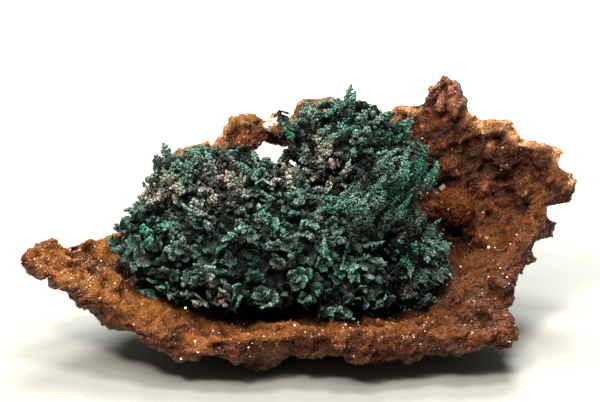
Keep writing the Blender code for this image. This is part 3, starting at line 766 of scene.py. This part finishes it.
def build_copper(name, plate_tree, seed):
    """A fork of the copper: its core, its leaves and its blades as one mesh."""
    fork = FORKS[name]
    rng = np.random.default_rng(seed)
    skin, normals, triangles = remeshed_arrays(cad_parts[name], CORE_VOXEL, CORE_SMOOTHING)
    layers = [core_layer(skin, normals, triangles, fork["inset"])]
    blades, leaves = grow(fork, skin, triangles, plate_tree, rng)
    if leaves:
        layers.append(leaf_layer(leaves, rng))
    most = (fork["budget"] - sum(len(layer["faces"]) for layer in layers)) // len(BLADE_FACES)
    layers.append(blade_layer(blades, most, fork["light"], rng))
    starts = np.cumsum([0] + [len(layer["points"]) for layer in layers])
    faces = np.concatenate([layer["faces"] + start for layer, start in zip(layers, starts)])
    points, *looks = [np.concatenate([layer[key] for layer in layers]) for key in ("points", *LAYER_LOOKS)]
    seen = as_seen(points)
    # painted light: the plume is paler all over, most in its highlight spots
    light = np.full(len(points), fork["light"])
    if name == HIGHLIGHT_FORK:
        light = np.maximum(light, spots_amount(seen, HIGHLIGHT_SPOTS))
    return mesh_object(
        name + "_branches", points, faces, np.arange(len(faces)) < len(triangles),
        **dict(zip(LAYER_LOOKS, looks)),
        green=spots_amount(seen, MALACHITE_SPOTS), brown=spots_amount(seen, BROWN_SPOTS),
        deep=spots_amount(seen, HOLLOWS), light=light,
    )


# Materials


class Nodes:
    """Short ways to add nodes to one material."""

    def __init__(self, name):
        self.material = bpy.data.materials.new(name)
        self.material.use_nodes = True
        self.tree = self.material.node_tree
        self.shader = self.tree.nodes["Principled BSDF"]

    def add(self, kind, inputs=(), **settings):
        made = self.tree.nodes.new(kind)
        for key, value in settings.items():
            setattr(made, key, value)
        for key, value in dict(inputs).items():
            self.put(made.inputs[key], value)
        return made

    def put(self, socket, value):
        if isinstance(value, bpy.types.NodeSocket):
            self.tree.links.new(value, socket)
        elif isinstance(value, tuple) and len(value) == 3 and socket.type == "RGBA":
            socket.default_value = (*value, 1.0)
        else:
            socket.default_value = value

    def finish(self, **inputs):
        for key, value in inputs.items():
            self.put(self.shader.inputs[key.replace("_", " ")], value)
        return self.material

    def gloss(self, level, tint=(1.0, 1.0, 1.0)):
        self.shader.inputs["Specular IOR Level"].default_value = level
        self.shader.inputs["Specular Tint"].default_value = (*tint, 1.0)

    def read(self, name, *ranges):
        """An attribute of the mesh, mapped between the ranges if there are any."""
        value = self.add("ShaderNodeAttribute", attribute_name=name).outputs["Fac"]
        return self.between(value, *ranges) if ranges else value

    def place(self, stretch=(1, 1, 1)):
        """The point on the object, stretched."""
        coordinates = self.add("ShaderNodeTexCoord").outputs["Object"]
        return self.add("ShaderNodeMapping", {"Vector": coordinates, "Scale": stretch}).outputs["Vector"]

    def framed(self, **frame_inputs):
        """The point on the object as seen from a moved, turned or larger frame."""
        coordinates = self.add("ShaderNodeTexCoord").outputs["Object"]
        return self.add("ShaderNodeMapping", {
            "Vector": coordinates, **frame_inputs,
        }, vector_type="TEXTURE").outputs["Vector"]

    def noise(self, wavelength, detail=3.0, stretch=(1, 1, 1)):
        return self.add("ShaderNodeTexNoise", {
            "Vector": self.place(stretch), "Scale": 1 / (wavelength * MM), "Detail": detail,
            "Roughness": 0.55,
        }).outputs["Fac"]

    def streaks(self, wavelength, length, rise):
        """Noise drawn out along lines that rise to the right at this angle."""
        return self.add("ShaderNodeTexNoise", {
            "Vector": self.framed(Rotation=(0.0, -rise, 0.0), Scale=(length, 1.0, 1.0)),
            "Scale": 1 / (wavelength * MM), "Detail": 2.0,
        }).outputs["Fac"]

    def cells(self, size, feature="F1"):
        """Scattered cells: the distance to the nearest middle or edge, and each cell's place and colour."""
        return self.add("ShaderNodeTexVoronoi", {
            "Vector": self.place(), "Scale": 1 / (size * MM),
        }, feature=feature).outputs

    def facets(self, size, lean, normal):
        """The normal, leaning its own way in each cell like a tiny crystal's, and a chance per cell."""
        cells = self.cells(size)
        chance = self.add("ShaderNodeTexWhiteNoise", {"Vector": cells["Position"]}).outputs["Value"]
        lean = self.add("ShaderNodeVectorMath", {
            0: cells["Color"], 1: (2 * lean, 2 * lean, 2 * lean), 2: (-lean, -lean, -lean),
        }, operation="MULTIPLY_ADD").outputs["Vector"]
        normal = self.add("ShaderNodeVectorMath", {0: normal, 1: lean}, operation="ADD").outputs["Vector"]
        normal = self.add("ShaderNodeVectorMath", {0: normal}, operation="NORMALIZE").outputs["Vector"]
        return normal, chance

    def between(self, value, low, high, out_low=0.0, out_high=1.0):
        return self.add("ShaderNodeMapRange", {
            "Value": value, "From Min": low, "From Max": high, "To Min": out_low, "To Max": out_high,
        }, interpolation_type="SMOOTHSTEP").outputs["Result"]

    def calc(self, operation, first, second):
        return self.add("ShaderNodeMath", {0: first, 1: second}, operation=operation).outputs["Value"]

    def times(self, first, second):
        return self.calc("MULTIPLY", first, second)

    def mix(self, amount, first, second):
        made = self.add("ShaderNodeMix", data_type="RGBA")
        self.put(made.inputs[0], amount)
        self.put(made.inputs[6], first)
        self.put(made.inputs[7], second)
        return made.outputs[2]

    def bump(self, height, distance):
        return self.add("ShaderNodeBump", {"Height": height, "Distance": distance * MM}).outputs["Normal"]


# Colours in linear light.
# painted shade under the copper
SHADE_UNDER_COPPER_BLACK = (0.012, 0.005, 0.003)
RUST_DARK = (0.024, 0.007, 0.003)
# painted shade in the shaded parts
RUST_IN_SHADE = (0.058, 0.015, 0.003)
RUST_SHADED_LOW = (0.120, 0.040, 0.014)
RUST_PINK = (0.360, 0.140, 0.082)
RUST_RED = (0.088, 0.024, 0.011)
RUST_BROWN = (0.120, 0.034, 0.008)
RUST_ORANGE = (0.210, 0.074, 0.016)
RUST_PURPLE = (0.060, 0.021, 0.014)
RUST_LIT_TOP = (0.235, 0.066, 0.034)
OUTSIDE_BROWN = (0.070, 0.026, 0.013)
OUTSIDE_TAN = (0.190, 0.092, 0.045)
OUTSIDE_GREY = (0.120, 0.100, 0.080)
AMBER = (0.080, 0.021, 0.005)
COLOURLESS = (0.46, 0.38, 0.31)
RIM_TAN = (0.42, 0.18, 0.07)
RIM_PALE = (0.56, 0.32, 0.16)
# painted shade in the copper's depths
DEPTH_SHADE_BLACK = (0.002, 0.003, 0.003)
PATINA_DARK_AND_CRACK_SHADE = (0.010, 0.026, 0.020)
PATINA_TEAL = (0.030, 0.150, 0.092)
PATINA_GREY = (0.138, 0.258, 0.182)
# painted highlight
PATINA_HIGHLIGHT = (0.250, 0.400, 0.300)
PATINA_BROWN = (0.105, 0.115, 0.092)
MALACHITE = (0.005, 0.225, 0.118)
COPPER_RED = (0.170, 0.052, 0.030)
COPPER_BROWN = (0.235, 0.170, 0.135)
COPPER_PINK = (0.540, 0.365, 0.300)
FLOOR_WHITE = (0.97, 0.97, 0.96)
FLOOR_SHADOW_GREY = (0.220, 0.220, 0.190)
SHADOW_POOL_RADIUS = 260.0  # painted shadow: the floor is greyer this close to the specimen


def gashes(n):
    """Short dark gashes that rise to the right over the wall: 1 in a gash."""
    streaks = n.streaks(0.75, 3.2, STREAK_RISE)
    where = n.calc("MAXIMUM", n.read("steep", 0.2, 0.6), n.read("spot_shade"))
    return n.times(n.between(streaks, 0.36, 0.45, 1.0, 0.0), where)


def rust_colour(n):
    """The iron-stained dolomite's colour, the same in the rock and in its crystals."""
    steep = n.read("steep", 0.3, 0.85)
    colour = n.mix(n.between(n.noise(9.0), 0.35, 0.65), RUST_ORANGE, RUST_BROWN)
    red = n.mix(n.between(n.noise(4.0), 0.4, 0.6), RUST_RED, RUST_PURPLE)
    # painted highlight: the lumps' tops are lighter
    red = n.mix(n.read("hollow", -0.55, -0.15, 0.75, 0.0), red, RUST_LIT_TOP)
    colour = n.mix(n.times(steep, 0.92), colour, red)
    colour = n.mix(n.times(n.read("peak"), 0.8), colour, RUST_PINK)
    # painted shade: darker close to the floor
    colour = n.mix(n.times(n.read("low"), 0.7), colour, RUST_SHADED_LOW)
    # painted shade over the shaded parts, redder on steep ones
    colour = n.mix(n.times(n.read("spot_shade"), 0.85), colour, n.mix(steep, RUST_IN_SHADE, red))
    blotches = n.between(n.noise(1.3, stretch=(0.5, 0.5, 1.0)), 0.45, 0.70)
    blotches = n.times(blotches, n.read("steep", 0.2, 0.6, 0.22, 0.8))
    blotches = n.times(blotches, n.read("peak", 0.0, 1.0, 1.0, 0.35))
    colour = n.mix(blotches, colour, RUST_DARK)
    # painted shade: the hollows between the lumps are darker
    colour = n.mix(n.read("hollow", -0.15, 0.5, 0.0, 0.9), colour, RUST_DARK)
    colour = n.mix(n.times(gashes(n), 0.8), colour, RUST_DARK)
    outside = n.mix(n.between(n.noise(5.0, detail=5.0), 0.40, 0.60), OUTSIDE_BROWN, OUTSIDE_TAN)
    outside = n.mix(n.between(n.noise(1.6), 0.50, 0.70), outside, OUTSIDE_GREY)
    colour = n.mix(n.read("lined", 0.2, 0.8, 0.85, 0.0), colour, outside)
    # painted shade: rock under the copper goes nearly black
    colour = n.mix(n.read("under", 0.1, 0.8, 0.0, 0.8), colour, SHADE_UNDER_COPPER_BLACK)
    colour = n.mix(n.read("lump", 0.2, 0.8), colour, AMBER)
    # the pale rim: partly its own paler rock, partly painted light from behind
    tan = n.mix(n.between(n.noise(1.3), 0.35, 0.7), RIM_TAN, RIM_PALE)
    return n.mix(n.times(n.read("rim"), n.between(n.noise(2.6), 0.15, 0.4)), colour, tan)


def rock_material():
    n = Nodes("stained_dolomite")
    grain = n.noise(0.35, detail=4.0)
    colour = n.mix(n.between(grain, 0.4, 0.6, 0.35, 0.0), rust_colour(n), RUST_DARK)
    height = n.calc("SUBTRACT", grain, n.times(gashes(n), 1.5))
    normal, chance = n.facets(0.26, 0.45, n.bump(height, 0.3))
    chance = n.calc("ADD", chance, n.read("spot_shade", 0.0, 0.8, 0.0, 0.2))
    not_lump = n.read("lump", 0.2, 0.8, 1.0, 0.0)
    matt = n.times(n.between(chance, 0.50, 0.52), not_lump)
    n.gloss(0.14, (1.0, 0.80, 0.66))
    return n.finish(Base_Color=colour, Roughness=n.between(matt, 0.0, 1.0, 0.16, 0.60), Normal=normal)


def crystal_material():
    n = Nodes("dolomite_rhombs")
    colour = n.mix(n.read("tint", 0.0, 0.5, 0.4, 0.0), rust_colour(n), RUST_DARK)
    colour = n.mix(n.read("amber"), colour, AMBER)
    colour = n.mix(n.read("pale"), colour, COLOURLESS)
    colour = n.mix(n.read("green"), colour, MALACHITE)
    n.gloss(0.30, (1.0, 0.86, 0.74))
    return n.finish(Base_Color=colour, Roughness=n.read("steep", 0.3, 0.8, 0.08, 0.22))


def copper_material():
    n = Nodes("patinated_copper")
    outer = n.read("outer")
    tint = n.read("tint")
    clump = n.read("clump")
    colour = n.mix(n.between(n.noise(8.0), 0.4, 0.6), PATINA_BROWN, PATINA_TEAL)
    colour = n.mix(n.between(clump, 0.2, 1.0), colour, PATINA_GREY)
    colour = n.mix(n.between(tint, 0.0, 1.0, 0.0, 0.6), colour, PATINA_GREY)
    patches = n.calc("MAXIMUM", n.read("green"), n.between(n.noise(4.2), 0.54, 0.70))
    patches = n.times(patches, n.between(clump, 0.1, 0.7, 0.55, 1.0))
    colour = n.mix(patches, colour, MALACHITE)
    browns = n.between(n.noise(5.0, stretch=(1, 1.2, 0.8)), 0.60, 0.78)
    browns = n.calc("MAXIMUM", n.read("brown"), browns)
    browns = n.times(browns, n.between(clump, 0.05, 0.35))
    colour = n.mix(browns, colour, n.mix(n.between(outer, 0.5, 0.95), COPPER_BROWN, COPPER_PINK))
    colour = n.mix(n.between(n.noise(1.7), 0.65, 0.71), colour, COPPER_RED)
    # painted light over the plume and painted highlight on its edge
    colour = n.mix(n.times(n.read("light"), 0.7), colour, PATINA_HIGHLIGHT)
    # painted highlight on the blades' tips and the leaves' edges
    colour = n.mix(n.read("edge", 0.3, 1.0, 0.0, 0.5), colour, PATINA_HIGHLIGHT)
    grains = n.cells(0.27)["Distance"]
    cracks = n.between(n.cells(0.62, "DISTANCE_TO_EDGE")["Distance"], 0.02, 0.14, 0.85, 0.0)
    colour = n.mix(n.between(grains, 0.35, 0.75, 0.0, 0.50), colour, PATINA_DARK_AND_CRACK_SHADE)
    # painted shade in the cracks between small lobes
    colour = n.mix(cracks, colour, PATINA_DARK_AND_CRACK_SHADE)
    # painted shade in the hollows
    outer = n.times(outer, n.read("deep", 0.1, 0.8, 1.0, 0.2))
    # painted shade: the copper's deep parts go black
    colour = n.mix(n.between(outer, 0.24, 0.90), DEPTH_SHADE_BLACK, colour)
    normal, chance = n.facets(0.23, 0.35, n.bump(n.between(grains, 0.0, 0.8, 1.0, 0.0), 0.16))
    n.gloss(0.14)
    return n.finish(Base_Color=colour, Roughness=n.between(chance, 0.84, 0.86, 0.75, 0.22), Normal=normal)


def floor_material():
    n = Nodes("pale_floor")
    place = n.framed(Scale=(SHADOW_POOL_RADIUS * MM, SHADOW_POOL_RADIUS * MM, 1.0))
    # painted shadow: a grey pool on the floor around the specimen
    shadow_pool = n.add("ShaderNodeTexGradient", {"Vector": place}, gradient_type="SPHERICAL").outputs["Fac"]
    colour = n.mix(n.between(shadow_pool, 0.15, 0.80), FLOOR_WHITE, FLOOR_SHADOW_GREY)
    return n.finish(Base_Color=colour, Roughness=0.6)


# Stage

FLOOR_HALF = 2000.0
FLOOR_GAP = 0.02  # under the specimen's foot
WORLD_STRENGTH = 0.24
LIGHTS = [  # name, place, what it points at, diameter, watts and colour
    ("front_light", (0, -220, 380), (0, 0, 10), 240, 2.1, (1.0, 1.0, 1.0)),
    ("top_light", (20, 10, 420), (0, 0, 5), 150, 2.5, (1.0, 1.0, 1.0)),
    ("back_light", (10, 290, 370), (0, 0, 5), 220, 3.65, (1.0, 1.0, 1.0)),
    ("glint_light", (-120, -240, 330), (0, 0, 15), 75, 2.1, (1.0, 0.92, 0.84)),
]


def area_light(name, place, aim, size, watts, colour):
    light = bpy.data.lights.new(name, "AREA")
    light.shape = "DISK"
    light.size = size * MM
    light.energy = watts
    light.color = colour
    obj = bpy.data.objects.new(name, light)
    obj.location = Vector(place) * MM
    obj.rotation_euler = (Vector(place) - Vector(aim)).to_track_quat("Z", "Y").to_euler()
    bpy.context.scene.collection.objects.link(obj)


def build_stage():
    corners = FLOOR_HALF * np.array([(-1, -1, 0), (1, -1, 0), (1, 1, 0), (-1, 1, 0)])
    floor = mesh_object("floor", corners, np.array([(0, 1, 2), (0, 2, 3)]), False)
    floor.location.z = -FLOOR_GAP * MM
    floor.data.materials.append(floor_material())
    world = bpy.data.worlds.new("studio")
    world.use_nodes = True
    background = world.node_tree.nodes["Background"]
    background.inputs["Color"].default_value = (1.0, 1.0, 1.0, 1.0)
    background.inputs["Strength"].default_value = WORLD_STRENGTH
    bpy.context.scene.world = world
    for light in LIGHTS:
        area_light(*light)
    bpy.context.scene.view_settings.view_transform = "Standard"


def build_camera():
    camera = bpy.data.cameras.new("camera")
    camera.lens = CAMERA_LENS
    camera.sensor_width = 36.0
    camera.clip_start = 0.01
    obj = bpy.data.objects.new("camera", camera)
    tilt = math.radians(CAMERA_ELEVATION)
    back = Vector((0, -math.cos(tilt), math.sin(tilt))) * CAMERA_DISTANCE
    obj.location = (Vector(LOOK_AT) + back) * MM
    obj.rotation_euler = (math.pi / 2 - tilt, 0, 0)
    bpy.context.scene.collection.objects.link(obj)
    bpy.context.scene.camera = obj


def dress(piece, material, slot, *nodes):
    """Gives a piece its material and ties it to the specimen's one body."""
    piece.data.materials.append(material)
    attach(piece, "root")
    if nodes:
        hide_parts(*nodes)


def main():
    build_camera()
    build_stage()
    plate, points, triangles, looks = build_plate()
    dress(plate, rock_material(), "dolomite", "dolomite_plate")
    dress(build_crystals(points, triangles, looks), crystal_material(), "dolomite")
    plate_tree = tree_of(points, triangles)
    copper = copper_material()
    for seed, name in enumerate(FORKS, start=51):
        dress(build_copper(name, plate_tree, seed), copper, "copper", name)


main()
